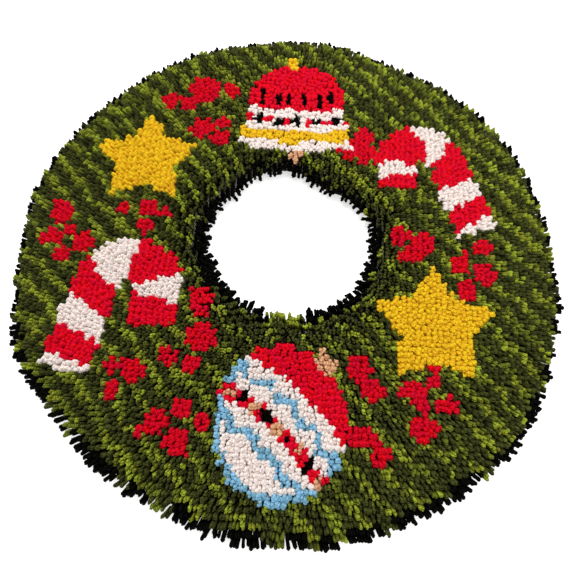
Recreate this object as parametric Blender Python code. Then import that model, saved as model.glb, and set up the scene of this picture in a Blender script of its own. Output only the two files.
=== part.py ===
"""Latch hook wreath rug, lying flat.

A ring of rug canvas carries a dense cut pile: a broad ring of ground pile, and
dark rows along its outer edge and round its open centre, whose tufts lean out
past the canvas. +Z is up and the canvas rests on z = 0. The origin lies on that
plane, in the middle of the rug's extents.
"""

from collections import namedtuple
from math import cos, radians, sin

import bmesh
import bpy

# Driving dimensions, in metres
RUG_RADIUS = 0.343  # mean reach of the outer tufts
HOLE_RADIUS = 0.098  # mean clear radius inside the inner tufts
HOLE_OFFSET = (0.001, 0.009)  # the open centre lies a little off the middle
CANVAS_THICKNESS = 0.002  # rug canvas with the backs of its knots
OUTER_OVERHANG = 0.014  # outer tufts past the canvas
INNER_OVERHANG = 0.010  # inner tufts past the canvas
OUTER_EDGE_WIDTH = 0.026  # dark rows with their lean, outer edge
INNER_EDGE_WIDTH = 0.021  # dark rows with their lean, open centre
PILE_HEIGHT = 0.020  # floor to tuft tips on the ground
EDGE_HEIGHT = 0.0185  # floor to tuft tips on the dark rows
GAP = 0.0003  # clearance between neighbouring pieces
STATIONS = 120  # sections round the ring

PILE_FOOT = CANVAS_THICKNESS + GAP

# Unevenness of an outline: ripples round the ring, their depth and first peak
Wave = namedtuple("Wave", "ripples depth_mm peak_deg")
OUTER_WAVES = (
    Wave(2, 2.7, 128),
    Wave(3, 2.2, 70),
    Wave(4, 2.0, 28),
    Wave(5, 1.3, 37),
    Wave(6, 1.9, 30),
    Wave(9, 1.4, 3),
    Wave(12, 1.2, 24),
)
HOLE_WAVES = (
    Wave(2, 3.0, 160),
    Wave(3, 1.6, 113),
    Wave(4, 2.4, 17),
    Wave(5, 3.0, 25),
    Wave(6, 1.0, 32),
    Wave(10, 1.2, 9),
)
# Slow swells of the pile's top, where some tufts stand fuller than others
SWELLS = (Wave(3, 0.35, 40), Wave(7, 0.3, 12), Wave(11, 0.25, 5))

# One corner of a ring's section: the outline it follows, how far it lies in
# from that outline, its height above the floor, and its share of the swells
Corner = namedtuple("Corner", "outline inset height swell")
OUTER, HOLE = "outer", "hole"

CANVAS_SECTION = (
    Corner(OUTER, OUTER_OVERHANG, 0.0, 0),
    Corner(OUTER, OUTER_OVERHANG, CANVAS_THICKNESS, 0),
    Corner(HOLE, INNER_OVERHANG, CANVAS_THICKNESS, 0),
    Corner(HOLE, INNER_OVERHANG, 0.0, 0),
)
GROUND_SECTION = (
    Corner(OUTER, OUTER_EDGE_WIDTH + GAP, PILE_FOOT, 0),
    Corner(OUTER, OUTER_EDGE_WIDTH + GAP, EDGE_HEIGHT, 1),
    Corner(OUTER, OUTER_EDGE_WIDTH + 0.010, PILE_HEIGHT, 1),
    Corner(HOLE, INNER_EDGE_WIDTH + 0.008, PILE_HEIGHT, 1),
    Corner(HOLE, INNER_EDGE_WIDTH + GAP, EDGE_HEIGHT, 1),
    Corner(HOLE, INNER_EDGE_WIDTH + GAP, PILE_FOOT, 0),
)
OUTER_EDGE_SECTION = (
    Corner(OUTER, OUTER_OVERHANG, PILE_FOOT, 0),
    Corner(OUTER, 0.0020, 0.0035, 0),
    Corner(OUTER, 0.0, 0.0075, 0),
    Corner(OUTER, 0.0030, 0.0135, 0),
    Corner(OUTER, 0.0105, 0.0175, 1),
    Corner(OUTER, OUTER_EDGE_WIDTH, EDGE_HEIGHT, 1),
    Corner(OUTER, OUTER_EDGE_WIDTH, PILE_FOOT, 0),
)
INNER_EDGE_SECTION = (
    Corner(HOLE, INNER_EDGE_WIDTH, PILE_FOOT, 0),
    Corner(HOLE, INNER_EDGE_WIDTH, EDGE_HEIGHT, 1),
    Corner(HOLE, 0.0080, 0.0178, 1),
    Corner(HOLE, 0.0015, 0.0140, 0),
    Corner(HOLE, 0.0, 0.0080, 0),
    Corner(HOLE, 0.0020, 0.0040, 0),
    Corner(HOLE, INNER_OVERHANG, PILE_FOOT, 0),
)

# Yarn and canvas: colour, roughness
Finish = namedtuple("Finish", "name colour roughness")
CANVAS_COTTON = Finish("canvas_cotton", (0.62, 0.57, 0.46), 0.9)
GREEN_YARN = Finish("green_yarn", (0.075, 0.11, 0.022), 0.92)
BLACK_YARN = Finish("black_yarn", (0.008, 0.008, 0.009), 0.9)


def ripple(waves, angle):
    """Sum of the waves at an angle, in metres."""
    return sum(
        w.depth_mm / 1000 * cos(w.ripples * (angle - radians(w.peak_deg)))
        for w in waves
    )


def station_angles():
    """Angles of the sections round the ring."""
    return [radians(360 * i / STATIONS) for i in range(STATIONS)]


def rug_centre():
    """Middle of the outer outline's extents, which becomes the origin."""
    reach = [(RUG_RADIUS + ripple(OUTER_WAVES, a), a) for a in station_angles()]
    xs = [r * cos(a) for r, a in reach]
    ys = [r * sin(a) for r, a in reach]
    return (min(xs) + max(xs)) / 2, (min(ys) + max(ys)) / 2


def corner_point(corner, angle, centre):
    """Place of a section's corner at one station of the ring."""
    if corner.outline == OUTER:
        radius = RUG_RADIUS + ripple(OUTER_WAVES, angle) - corner.inset
        x0, y0 = -centre[0], -centre[1]
    else:
        radius = HOLE_RADIUS + ripple(HOLE_WAVES, angle) + corner.inset
        x0, y0 = HOLE_OFFSET
    height = corner.height + corner.swell * ripple(SWELLS, angle)
    return x0 + radius * cos(angle), y0 + radius * sin(angle), height


def material(finish):
    """Principled material for a finish."""
    mat = bpy.data.materials.new(finish.name)
    mat.use_nodes = True
    shader = mat.node_tree.nodes["Principled BSDF"]
    shader.inputs["Base Color"].default_value = (*finish.colour, 1.0)
    shader.inputs["Roughness"].default_value = finish.roughness
    shader.inputs["Metallic"].default_value = 0.0
    mat.diffuse_color = (*finish.colour, 1.0)
    return mat


def loft_ring(name, section, finish, collection):
    """Closed ring lofted through the section at each station.

    The section's corners run anticlockwise seen from behind the station, so
    that the faces point out.
    """
    centre = rug_centre()
    bm = bmesh.new()
    loops = [
        [bm.verts.new(corner_point(c, a, centre)) for c in section]
        for a in station_angles()
    ]
    for here, after in zip(loops, loops[1:] + loops[:1]):
        for i in range(len(section)):
            j = (i + 1) % len(section)
            bm.faces.new((here[i], after[i], after[j], here[j]))
    bmesh.ops.recalc_face_normals(bm, faces=bm.faces)
    mesh = bpy.data.meshes.new(name)
    bm.to_mesh(mesh)
    bm.free()
    mesh.shade_smooth()
    mesh.set_sharp_from_angle(angle=radians(40))
    mesh.materials.append(material(finish))
    ring = bpy.data.objects.new(name, mesh)
    collection.objects.link(ring)
    return ring


def main():
    for obj in list(bpy.data.objects):
        bpy.data.objects.remove(obj)
    rug = bpy.data.collections.new("latch_hook_rug")
    bpy.context.scene.collection.children.link(rug)
    loft_ring("canvas", CANVAS_SECTION, CANVAS_COTTON, rug)
    loft_ring("pile_ground", GROUND_SECTION, GREEN_YARN, rug)
    loft_ring("pile_outer_edge", OUTER_EDGE_SECTION, BLACK_YARN, rug)
    loft_ring("pile_inner_edge", INNER_EDGE_SECTION, BLACK_YARN, rug)


main()
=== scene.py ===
"""Looks of a latch hook wreath rug, hooked knot by knot round its canvas ring.

Every knot of the canvas grid is one cut strand of rug yarn, folded round a bar
of the canvas, so that its two ends stand up as pile. The chart says which yarn
each knot is hooked in, the lie of the pile says which way its ends lean, and
the yarn says how thick, twisted and frayed they are.
"""

import logging
import math
from collections.abc import Callable
from dataclasses import dataclass, field
from enum import IntEnum

import bpy
import numpy as np
from mathutils import Matrix, Vector


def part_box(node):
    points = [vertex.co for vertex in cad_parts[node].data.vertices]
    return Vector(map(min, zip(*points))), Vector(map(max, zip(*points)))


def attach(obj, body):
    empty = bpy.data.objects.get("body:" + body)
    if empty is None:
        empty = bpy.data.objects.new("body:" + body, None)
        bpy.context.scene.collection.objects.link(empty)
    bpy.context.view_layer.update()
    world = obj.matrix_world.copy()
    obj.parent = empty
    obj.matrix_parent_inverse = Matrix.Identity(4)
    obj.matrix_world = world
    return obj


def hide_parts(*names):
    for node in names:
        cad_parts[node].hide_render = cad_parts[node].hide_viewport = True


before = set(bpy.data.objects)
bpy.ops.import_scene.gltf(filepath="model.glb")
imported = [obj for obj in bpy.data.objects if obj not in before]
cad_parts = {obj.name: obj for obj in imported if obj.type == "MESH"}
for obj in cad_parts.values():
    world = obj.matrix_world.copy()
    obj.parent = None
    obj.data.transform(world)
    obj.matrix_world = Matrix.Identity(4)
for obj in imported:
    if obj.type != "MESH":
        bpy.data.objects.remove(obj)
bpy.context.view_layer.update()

LOG = logging.getLogger("latch_hook_rug")
MM = 0.001
KNOT_PITCH = 6.77 * MM  # canvas with 3.75 holes to the inch
GRID_REACH = 0.36  # no canvas line lies further than this from the middle, in metres
SEED = 3751


def put(node: bpy.types.Node, **values: object) -> None:
    """Sets sockets of a node, named with underscores for the spaces."""
    for name, value in values.items():
        node.inputs[name.replace("_", " ")].default_value = value


def surface(
    name: str, **values: object
) -> tuple[bpy.types.Material, bpy.types.Node]:
    """Makes a material with a Principled BSDF.

    Args:
        name: its name.
        values: sockets that are set, with underscores for the spaces.

    Returns:
        The material and its Principled BSDF.
    """
    mat = bpy.data.materials.new(name)
    mat.use_nodes = True
    shader = mat.node_tree.nodes["Principled BSDF"]
    put(shader, **values)
    return mat, shader


def raised(
    mat: bpy.types.Material, height: bpy.types.NodeSocket, strength: float, most: float
) -> None:
    """Raises a material's surface where a socket says.

    Args:
        mat: the material.
        height: the socket, from 0 to 1.
        strength: how strongly it shows.
        most: height where the socket says 1, in metres.
    """
    nodes, links = mat.node_tree.nodes, mat.node_tree.links
    bump = nodes.new("ShaderNodeBump")
    put(bump, Strength=strength, Distance=most)
    links.new(height, bump.inputs["Height"])
    links.new(bump.outputs["Normal"], nodes["Principled BSDF"].inputs["Normal"])


def placed(name: str, mesh: bpy.types.Mesh) -> bpy.types.Object:
    """Puts a mesh into the scene at the origin.

    Args:
        name: name of the piece.
        mesh: its mesh.

    Returns:
        The piece.
    """
    piece = bpy.data.objects.new(name, mesh)
    bpy.context.scene.collection.objects.link(piece)
    return piece


def edited(piece: bpy.types.Object, *steps: Callable[[], object]) -> None:
    """Works on all of a piece in edit mode, then turns its faces outwards.

    Args:
        piece: the piece.
        steps: what is done there, in order.
    """
    bpy.ops.object.select_all(action="DESELECT")
    piece.select_set(True)
    bpy.context.view_layer.objects.active = piece
    bpy.ops.object.mode_set(mode="EDIT")
    bpy.ops.mesh.select_all(action="SELECT")
    for step in steps:
        step()
    bpy.ops.mesh.normals_make_consistent(inside=False)
    bpy.ops.object.mode_set(mode="OBJECT")


class Yarn(IntEnum):
    DARK = 0
    LEAF = 1
    LIME = 2
    BLACK = 3
    GOLD = 4
    RED = 5
    WHITE = 6
    BLUE = 7
    PEACH = 8
    BERRY = 9


class Zone(IntEnum):
    """What a knot belongs to, one piece of pile for each."""

    NORTH_EAST = 0
    NORTH_WEST = 1
    SOUTH_WEST = 2
    SOUTH_EAST = 3
    OUTER_EDGE = 4
    INNER_EDGE = 5
    STAR_LEFT = 6
    STAR_RIGHT = 7
    CANE_LEFT = 8
    CANE_RIGHT = 9
    BERRIES = 10
    BELL = 11
    BAUBLE = 12


# How the last rows differ round the rug, beside the plain rug
INNER_SPLAY = (
    # degrees anticlockwise from the right, share
    (0, 1.05), (50, 1.10), (90, 1.20), (130, 1.25), (180, 1.55), (270, 0.72),
    (360, 1.05),
)
OUTER_SPLAY = (
    # degrees, share
    (0, 1.10), (45, 0.75), (80, 0.50), (97, 1.35), (120, 1.25), (150, 1.05),
    (180, 1.10), (215, 0.90), (235, 1.15), (255, 1.80), (270, 1.80), (290, 1.00),
    (325, 1.20), (360, 1.10),
)
OUTER_TRIM = (
    # degrees, share of the length
    (0, 0.88), (15, 0.83), (30, 0.78), (60, 0.78), (80, 0.74), (100, 0.65),
    (125, 0.73), (150, 0.77), (172, 0.90), (183, 0.75), (196, 0.68), (208, 1.10),
    (240, 1.10), (255, 1.20), (270, 1.20), (290, 0.84), (305, 1.10), (325, 0.82),
    (350, 1.08), (360, 0.88),
)
BLACK_SHARE = (
    # degrees, share of black knots in the first row
    (0, 0.5), (40, 0.55), (70, 0.5), (95, 0.2), (115, 0.8), (150, 0.6), (185, 0.6),
    (215, 0.8), (250, 0.85), (300, 0.85), (330, 0.7), (360, 0.5),
)


def read_off(table: tuple[tuple[float, float], ...], at: np.ndarray) -> np.ndarray:
    """Values of a table of two columns at these places in its first."""
    return np.interp(at, *zip(*table))


def way_round(x: np.ndarray, y: np.ndarray) -> np.ndarray:
    """Angle of points round the rug, in degrees anticlockwise from the right."""
    return np.degrees(np.arctan2(y, x)) % 360


@dataclass
class Ring:
    """The canvas ring: its outer and inner cut edges, read from the CAD canvas.

    Args:
        canvas: the CAD canvas object.
    """

    canvas: bpy.types.Object
    angles: np.ndarray = field(init=False)
    outer: np.ndarray = field(init=False)
    inner: np.ndarray = field(init=False)

    def __post_init__(self) -> None:
        """Sorts the canvas's corners into its two edges, by angle."""
        points = np.array([v.co for v in self.canvas.data.vertices])
        points = np.unique(np.round(points[:, :2], 6), axis=0)
        angle = np.arctan2(points[:, 1], points[:, 0])
        reach = np.hypot(points[:, 0], points[:, 1])
        middle = (reach.min() + reach.max()) / 2
        self.angles = np.linspace(-math.pi, math.pi, 721)  # every half degree
        for name, side in (("outer", reach > middle), ("inner", reach <= middle)):
            order = np.argsort(angle[side])
            a, r = angle[side][order], reach[side][order]
            radii = np.interp(self.angles, a, r, period=2 * math.pi)
            setattr(self, name, radii)

    def margins(self, x: np.ndarray, y: np.ndarray) -> tuple[np.ndarray, np.ndarray]:
        """How far points lie inside the canvas.

        Args:
            x, y: the points, in metres.

        Returns:
            The distances from the outer and from the inner cut edge.
        """
        angle, reach = np.arctan2(y, x), np.hypot(x, y)
        outer = np.interp(angle, self.angles, self.outer)
        inner = np.interp(angle, self.angles, self.inner)
        return outer - reach, reach - inner


@dataclass(frozen=True)
class Star:
    """A five-pointed star. Sizes in millimetres, turn in degrees clockwise."""

    x: float
    y: float
    reach: float
    waist: float
    turn: float

    def covers(self, x: np.ndarray, y: np.ndarray) -> np.ndarray:
        """Finds the star.

        Args:
            x, y: the points, in millimetres.

        Returns:
            Which of them lie in it.
        """
        dx, dy = x - self.x, y - self.y
        turn = np.arctan2(dx, dy) - math.radians(self.turn)
        fifth = 2 * math.pi / 5
        off = np.abs((turn + fifth / 2) % fifth - fifth / 2)
        half = math.pi / 5
        edge = self.reach * self.waist * math.sin(half)
        edge = edge / (self.reach * np.sin(off) + self.waist * np.sin(half - off))
        return np.hypot(dx, dy) < edge


@dataclass(frozen=True)
class Cane:
    """A candy cane: a straight shaft and a half-round hook, striped along it.

    Sizes in millimetres. The hook bends to the left when side is -1, and to
    the right when it is 1. Stripes start at the shaft's foot, white first, each
    with the distance where it ends and how much further it runs for each
    millimetre towards the outside of the bend.
    """

    x: float
    y: float
    side: int
    bend: float
    half_width: float
    foot_x: float
    foot_y: float
    tail: float
    tuck: float
    stripes: tuple[tuple[float, float], ...]

    def along(self, x: np.ndarray, y: np.ndarray) -> tuple[np.ndarray, np.ndarray]:
        """Distances of points from the cane's middle line.

        Args:
            x, y: the points, in millimetres.

        Returns:
            How far along the line each point lies, and how far off it, towards
            the outside of the bend.
        """
        dx, dy = (x - self.x) * -self.side, y - self.y
        foot = np.array([(self.foot_x - self.x) * -self.side, self.foot_y - self.y])
        shaft = np.array([self.bend, 0.0]) - foot
        long = float(np.hypot(*shaft))
        way = shaft / long
        s = (dx - foot[0]) * way[0] + (dy - foot[1]) * way[1]
        off = (dx - foot[0]) * way[1] - (dy - foot[1]) * way[0]
        far_off = 1e3  # for points that a part of the cane doesn't reach
        off = np.where((s < 0) | (s > long + 4), far_off, off)
        angle = np.arctan2(dy, dx)
        hook = np.where(dy >= 0, np.hypot(dx, dy) - self.bend, far_off)
        hook_s = long + self.bend * np.clip(angle, 0, math.pi)
        under = (dy < 0) & (dy > -self.tail)
        tail = np.where(under, -dx - self.bend + self.tuck, far_off)
        tail_s = long + self.bend * math.pi - dy
        for far, near in ((hook_s, hook), (tail_s, tail)):
            nearer = np.abs(near) < np.abs(off)
            s, off = np.where(nearer, far, s), np.where(nearer, near, off)
        return s, off

    def stripe(self, x: np.ndarray, y: np.ndarray) -> np.ndarray:
        """Finds the cane's stripes.

        Args:
            x, y: the points, in millimetres.

        Returns:
            The stripe's number at each point, or -1 off the cane.
        """
        s, off = self.along(x, y)
        number = sum((s > end + slant * off).astype(int) for end, slant in self.stripes)
        inside = (np.abs(off) < self.half_width) & (number < len(self.stripes))
        return np.where(inside, number, -1)


# Berries round the wreath: middle, width and height, in millimetres
BERRIES = (
    # x, y, wide, tall
    (-175, 216, 23, 32), (-131, 237, 40, 45), (-149, 211, 21, 26), (-95, 236, 22, 24),
    (-128, 169, 32, 31), (-101, 180, 22, 21), (-100, 154, 28, 27),
    (-293, 32, 28, 36), (-277, 6, 16, 18), (-299, -7, 27, 24), (-258, -9, 26, 29),
    (-281, -28, 22, 20), (-217, 39, 11, 21), (-185, 42, 24, 27), (-163, 35, 17, 15),
    (-183, 17, 24, 21),
    (75, 148, 32, 26), (97, 166, 27, 28), (98, 141, 28, 32),
    (145, 19, 24, 34), (174, 10, 27, 34), (160, -7, 30, 20),
    (247, 8, 26, 21), (217, -20, 22, 22), (225, -4, 12, 16), (248, -27, 25, 29),
    (223, -50, 26, 25),
    (-106, -82, 22, 28), (-98, -94, 17, 18), (-97, -128, 34, 38), (-131, -151, 23, 22),
    (-104, -160, 23, 21), (-196, -166, 17, 15), (-171, -169, 28, 29),
    (-191, -192, 18, 22), (-110, -210, 24, 24), (-136, -227, 30, 29),
    (-150, -236, 16, 14), (-111, -245, 27, 31), (-85, -225, 19, 22),
    (90, -156, 27, 34), (106, -181, 25, 25), (94, -230, 33, 25), (114, -247, 21, 26),
    (178, -148, 15, 20), (178, -166, 15, 22), (152, -179, 32, 23), (164, -194, 15, 16),
    (192, -193, 29, 20), (164, -218, 34, 29),
)


@dataclass(frozen=True)
class Bell:
    """A hand bell: red dome with dark ticks, white band of lozenges, gold lip.

    Sizes across are half widths in millimetres, and levels are shares of the
    bell's height, from its top. Ticks and lozenges each have the gap from one to
    the next, a half width, a level and a half height.
    """

    x: float
    top: float
    foot: float
    shoulder: float
    lip: float
    sag: float = 0.07  # the bands hang lower in the middle
    base: float = 0.93
    left: float = 200.0  # ticks and lozenges are counted from here, left of the middle
    ticks: tuple[float, float, float, float] = (20.0, 3.4, 0.36, 0.075)
    lozenges: tuple[float, float, float, float] = (27.0, 9.5, 0.625, 0.075)
    gems: tuple[float, float] = (7.0, 0.06)  # between the lozenges
    white: float = 0.50
    gold: float = 0.745
    hem: float = 0.855  # white again below the gold
    knob: tuple[float, float, float] = (-9.0, 1.0, 9.5)  # across, up, radius
    clapper: tuple[float, float, float] = (0.0, -1.0, 11.0)

    def yarns(self, x: np.ndarray, y: np.ndarray) -> np.ndarray:
        """Finds the bell's yarns.

        Args:
            x, y: the points, in millimetres.

        Returns:
            The yarn's number at each point, or -1 off the bell.
        """
        dx = x - self.x
        down = (self.top - y) / (self.top - self.foot)
        dome = np.sqrt(np.clip(1 - (1 - np.clip(down, 0, 0.5) / 0.5) ** 2, 0, 1))
        flare = np.clip((down - 0.5) / 0.5, 0, 1) ** 2
        half = self.shoulder * dome + (self.lip - self.shoulder) * flare
        sag = self.sag * (1 - np.clip(dx / self.lip, -1, 1) ** 2)
        inside = (down > 0) & (down < self.base + sag) & (np.abs(dx) < half)
        level = down - sag
        yarn = np.full(x.shape, int(Yarn.RED))
        gap, wide, middle, tall = self.ticks
        tick = np.abs((dx + self.left) % gap - gap / 2) < wide
        yarn[tick & (np.abs(level - middle) < tall)] = Yarn.BLACK
        yarn[level > self.white] = Yarn.WHITE
        gap, wide, middle, tall = self.lozenges
        step = np.abs((dx + self.left) % gap - gap / 2)
        rise = np.abs(level - middle)
        yarn[step / wide + rise / tall < 1] = Yarn.BLACK
        wide, tall = self.gems
        yarn[(gap / 2 - step) / wide + rise / tall < 1] = Yarn.RED
        yarn[level > self.gold] = Yarn.GOLD
        yarn[level > self.hem] = Yarn.WHITE
        found = np.where(inside, yarn, -1)
        across, up, radius = self.knob
        found[np.hypot(dx - across, y - self.top - up) < radius] = Yarn.GOLD
        across, up, radius = self.clapper
        ball = np.hypot(dx - across, y - self.foot - up) < radius
        found[ball & ~inside] = Yarn.PEACH
        return found


@dataclass(frozen=True)
class Bauble:
    """A tall tree bauble: red shoulder, white and light blue bands, a cap.

    Its middle and half sizes are in millimetres and its slant in degrees. The
    bands' middles and half widths are shares of the half height, from its middle.
    """

    x: float
    y: float
    wide: float
    tall: float
    slant: float
    bow: float = 0.16  # bands bow round the ball
    zigzag: tuple[float, float] = (0.13, 2.2)  # height, and zigzags in a half width
    shoulder: float = 0.34
    high_blue: tuple[float, float] = (0.09, 0.055)
    low_blue: tuple[float, float] = (-0.58, 0.065)
    belt: tuple[float, float] = (-0.235, 0.10)
    studs: float = 2.3  # black and peach studs in a half width of the belt
    black_stud: tuple[float, float] = (0.21, 0.11)
    peach_stud: tuple[float, float] = (0.22, 0.10)
    rim: tuple[float, float] = (0.895, 0.25)  # light blue: from this reach, up to here
    cap: tuple[float, float, float] = (0.17, 0.93, 1.15)  # half width, foot, top

    def yarns(self, x: np.ndarray, y: np.ndarray) -> np.ndarray:
        """Finds the bauble's yarns.

        Args:
            x, y: the points, in millimetres.

        Returns:
            The yarn's number at each point, or -1 off the bauble.
        """
        dx, dy = (x - self.x) / self.wide, (y - self.y) / self.tall
        turn = math.radians(self.slant)
        across = dx * math.cos(turn) + dy * math.sin(turn)
        up = -dx * math.sin(turn) + dy * math.cos(turn)
        reach = np.hypot(dx, dy)
        bow = up - self.bow * (1 - across * across)
        high, zigs = self.zigzag
        zig = high * (2 * np.abs((across * zigs + 0.5) % 1 - 0.5) - 0.5)
        yarn = np.full(x.shape, int(Yarn.WHITE))
        yarn[bow > self.shoulder] = Yarn.RED
        middle, half = self.high_blue
        yarn[np.abs(bow + zig - middle) < half] = Yarn.BLUE
        middle, half = self.belt
        level = np.abs(bow - middle)
        belt = level < half
        yarn[belt] = Yarn.RED
        for start, (wide, tall), colour in (
            (0.0, self.black_stud, Yarn.BLACK), (0.5, self.peach_stud, Yarn.PEACH),
        ):
            stud = np.abs((across * self.studs + start) % 1 - 0.5) / wide + level / tall
            yarn[belt & (stud < 1)] = colour
        middle, half = self.low_blue
        yarn[np.abs(bow - zig - middle) < half] = Yarn.BLUE
        least, high = self.rim
        yarn[(reach > least) & (bow < high) & ~belt] = Yarn.BLUE
        found = np.where(reach < 1, yarn, -1)
        half, foot, top = self.cap
        found[(np.abs(across) < half) & (up > foot) & (up < top)] = Yarn.PEACH
        return found


@dataclass(frozen=True)
class EdgeRows:
    """Black rows of knots along the two cut edges.

    Args:
        runs: how often black and green change round the rug, in three waves.
        steep: how sharply they change.
        ragged: how much single knots differ.
        first: how deep the first black row is, in knots.
        second: how deep the second is, and the degrees that it runs between.
        second_share: its share of black knots, beside the first row's.
        inner: how deep the black rows round the hole are.
        deeper: how deep they are at the top and left, between these degrees.
        inner_share: share of black knots there.
        lime: a gap in them, how deep and between which degrees.
        lime_share: share of lime green knots in the gap.
        hem: knots in from the hole that count as its edge in any yarn.
    """

    runs: tuple[int, int, int] = (31, 47, 73)
    steep: float = 0.75
    ragged: float = 0.12
    first: float = 0.72
    second: tuple[float, float, float] = (1.5, 200.0, 335.0)
    second_share: float = 0.75
    inner: float = 1.1
    deeper: tuple[float, float, float] = (1.8, 60.0, 215.0)
    inner_share: float = 0.96
    lime: tuple[float, float, float] = (0.9, 259.0, 287.0)
    lime_share: float = 0.6
    hem: float = 0.8


@dataclass
class Chart:
    """The rug's chart: which yarn each knot is hooked in.

    Args:
        ring: the canvas ring.
    """

    ring: Ring
    rows: EdgeRows = EdgeRows()
    stars: tuple[Star, Star] = (
        Star(x=-197.0, y=117.5, reach=71.5, waist=41.5, turn=-1.0),
        Star(x=182.0, y=-98.5, reach=77.0, waist=44.0, turn=1.0),
    )
    canes: tuple[Cane, Cane] = (
        Cane(
            x=-193.6, y=-71.4, side=1, bend=39.0, half_width=29.0,
            foot_x=-250.4, foot_y=-173.0, tail=44.0, tuck=4.5,
            stripes=(
                (13.5, 0.15), (46.0, 0.22), (80.5, 0.45), (120.0, 0.50),
                (167.0, 0.12), (211.0, 0.04), (235.5, 0.25), (269.0, -0.1),
            ),
        ),
        Cane(
            x=174.0, y=123.0, side=-1, bend=37.0, half_width=27.5,
            foot_x=244.0, foot_y=31.0, tail=33.0, tuck=5.5,
            stripes=(
                (13.5, 0.25), (44.5, 0.10), (73.0, 0.0), (119.0, 0.45),
                (149.5, 0.50), (207.5, 0.20), (228.5, 0.20), (247.0, 0.1),
            ),
        ),
    )
    bell: Bell = Bell(x=1.5, top=288.0, foot=140.0, shoulder=69.0, lip=80.0)
    bauble: Bauble = Bauble(x=2.5, y=-220.5, wide=76.0, tall=86.0, slant=-38.0)
    streak_lean: float = 46.0  # degrees below the horizontal
    streak_gap: float = 25.5  # from streak to streak, millimetres
    streak_start: float = 6.4  # from the rug's middle to the nearest streak
    streak_wave: float = 2.2  # how far streaks wander
    streak_waves: tuple[float, ...] = (46.0, 19.0, 8.0)  # over what lengths
    streak_piece: float = 34.0  # length of one piece of a streak, millimetres
    leaf_share: float = 0.22  # half width of a leaf green streak, as a share of the gap
    lime_share: float = 0.125
    swell: tuple[float, float] = (0.75, 1.25)  # least and greatest width of a piece
    ragged: float = 0.03  # how uneven the sides of streaks are
    lime_lost: float = 0.12  # share of the pieces without lime green
    lime_end: float = 0.86  # where the lime green of a piece ends
    stray_leaf: float = 0.045  # share of single leaf green knots
    stray_lime: float = 0.008
    stray_dark: float = 0.14  # share of dark knots in the leaf green
    # more leaf green at the top right: past this x and this y, and its share
    corner: tuple[float, float, float] = (120.0, 60.0, 0.16)

    def ground(self, x: np.ndarray, y: np.ndarray) -> np.ndarray:
        """Greens of the ground: dark, broken by slanting leaf and lime streaks.

        Args:
            x, y: the points, in millimetres.

        Returns:
            The yarn number at each point.
        """
        rng = np.random.default_rng(SEED)
        lean = math.radians(self.streak_lean)
        across = x * math.sin(lean) + y * math.cos(lean)
        down = x * math.cos(lean) - y * math.sin(lean)
        wander = sum(
            np.sin(down / step + across / 90 + start)
            for step, start in zip(self.streak_waves, rng.uniform(0, 6.3, 3))
        )
        band = across - self.streak_start + self.streak_wave * wander
        band = band / self.streak_gap
        number = np.round(band).astype(int)
        off = np.abs(band - number)
        # chance values are looked up by the numbers of the streak and of its piece
        run = down / self.streak_piece + rng.uniform(0, 1, 400)[number % 400]
        piece = np.floor(run).astype(int)
        pick = rng.uniform(0, 1, 4096)[(piece * 61 + number * 17) % 4096]
        swell = rng.uniform(*self.swell, 4096)[(piece * 37 + number * 11) % 4096]
        off = off + rng.normal(0, self.ragged, x.shape)
        leaf = off < self.leaf_share * swell
        lime = (off < self.lime_share * swell) & (pick > self.lime_lost)
        lime &= run - piece < self.lime_end
        stray = rng.uniform(0, 1, x.shape)
        right, top, share = self.corner
        more = (x > right) & (y > top) & (stray < share)
        yarn = np.full(x.shape, int(Yarn.DARK))
        yarn[leaf | more | (stray < self.stray_leaf)] = Yarn.LEAF
        yarn[leaf & (stray > 1 - self.stray_dark)] = Yarn.DARK
        yarn[lime | (stray > 1 - self.stray_lime)] = Yarn.LIME
        return yarn

    def read(
        self, x: np.ndarray, y: np.ndarray, lie_x: np.ndarray, lie_y: np.ndarray
    ) -> tuple[np.ndarray, np.ndarray]:
        """Reads the chart at the knots.

        Args:
            x, y: places of the knots on the canvas, in metres.
            lie_x, lie_y: how far the pile's tips lie from the knots, in metres.

        Returns:
            The yarn and the zone of each knot.
        """
        cx, cy = (x + lie_x) / MM, (y + lie_y) / MM
        yarn = self.ground(cx, cy)
        zone = np.where(
            cy > 0,
            np.where(cx > 0, int(Zone.NORTH_EAST), int(Zone.NORTH_WEST)),
            np.where(cx > 0, int(Zone.SOUTH_EAST), int(Zone.SOUTH_WEST)),
        )
        for bx, by, wide, tall in BERRIES:
            on = np.hypot((cx - bx) / (wide / 2), (cy - by) / (tall / 2)) < 1
            yarn[on], zone[on] = Yarn.BERRY, Zone.BERRIES
        for star, place in zip(self.stars, (Zone.STAR_LEFT, Zone.STAR_RIGHT)):
            on = star.covers(cx, cy)
            yarn[on], zone[on] = Yarn.GOLD, place
        for cane, place in zip(self.canes, (Zone.CANE_LEFT, Zone.CANE_RIGHT)):
            stripe = cane.stripe(cx, cy)
            on = stripe >= 0
            colour = np.where(stripe % 2 == 0, int(Yarn.WHITE), int(Yarn.RED))
            yarn[on], zone[on] = colour[on], place
        for motif, place in ((self.bell, Zone.BELL), (self.bauble, Zone.BAUBLE)):
            found = motif.yarns(cx, cy)
            on = found >= 0
            yarn[on], zone[on] = found[on], place
        return self.edges(x, y, yarn, zone)

    def edges(
        self, x: np.ndarray, y: np.ndarray, yarn: np.ndarray, zone: np.ndarray
    ) -> tuple[np.ndarray, np.ndarray]:
        """Works the black edge rows, with the green knots that break them.

        Args:
            x, y: places of the knots, in metres.
            yarn, zone: the chart so far.

        Returns:
            The yarn and the zone of each knot.
        """
        rng = np.random.default_rng(SEED + 1)
        rows_out, rows_in = (edge / KNOT_PITCH for edge in self.ring.margins(x, y))
        way = way_round(x, y)
        chance = read_off(BLACK_SHARE, way)
        rows = self.rows

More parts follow.
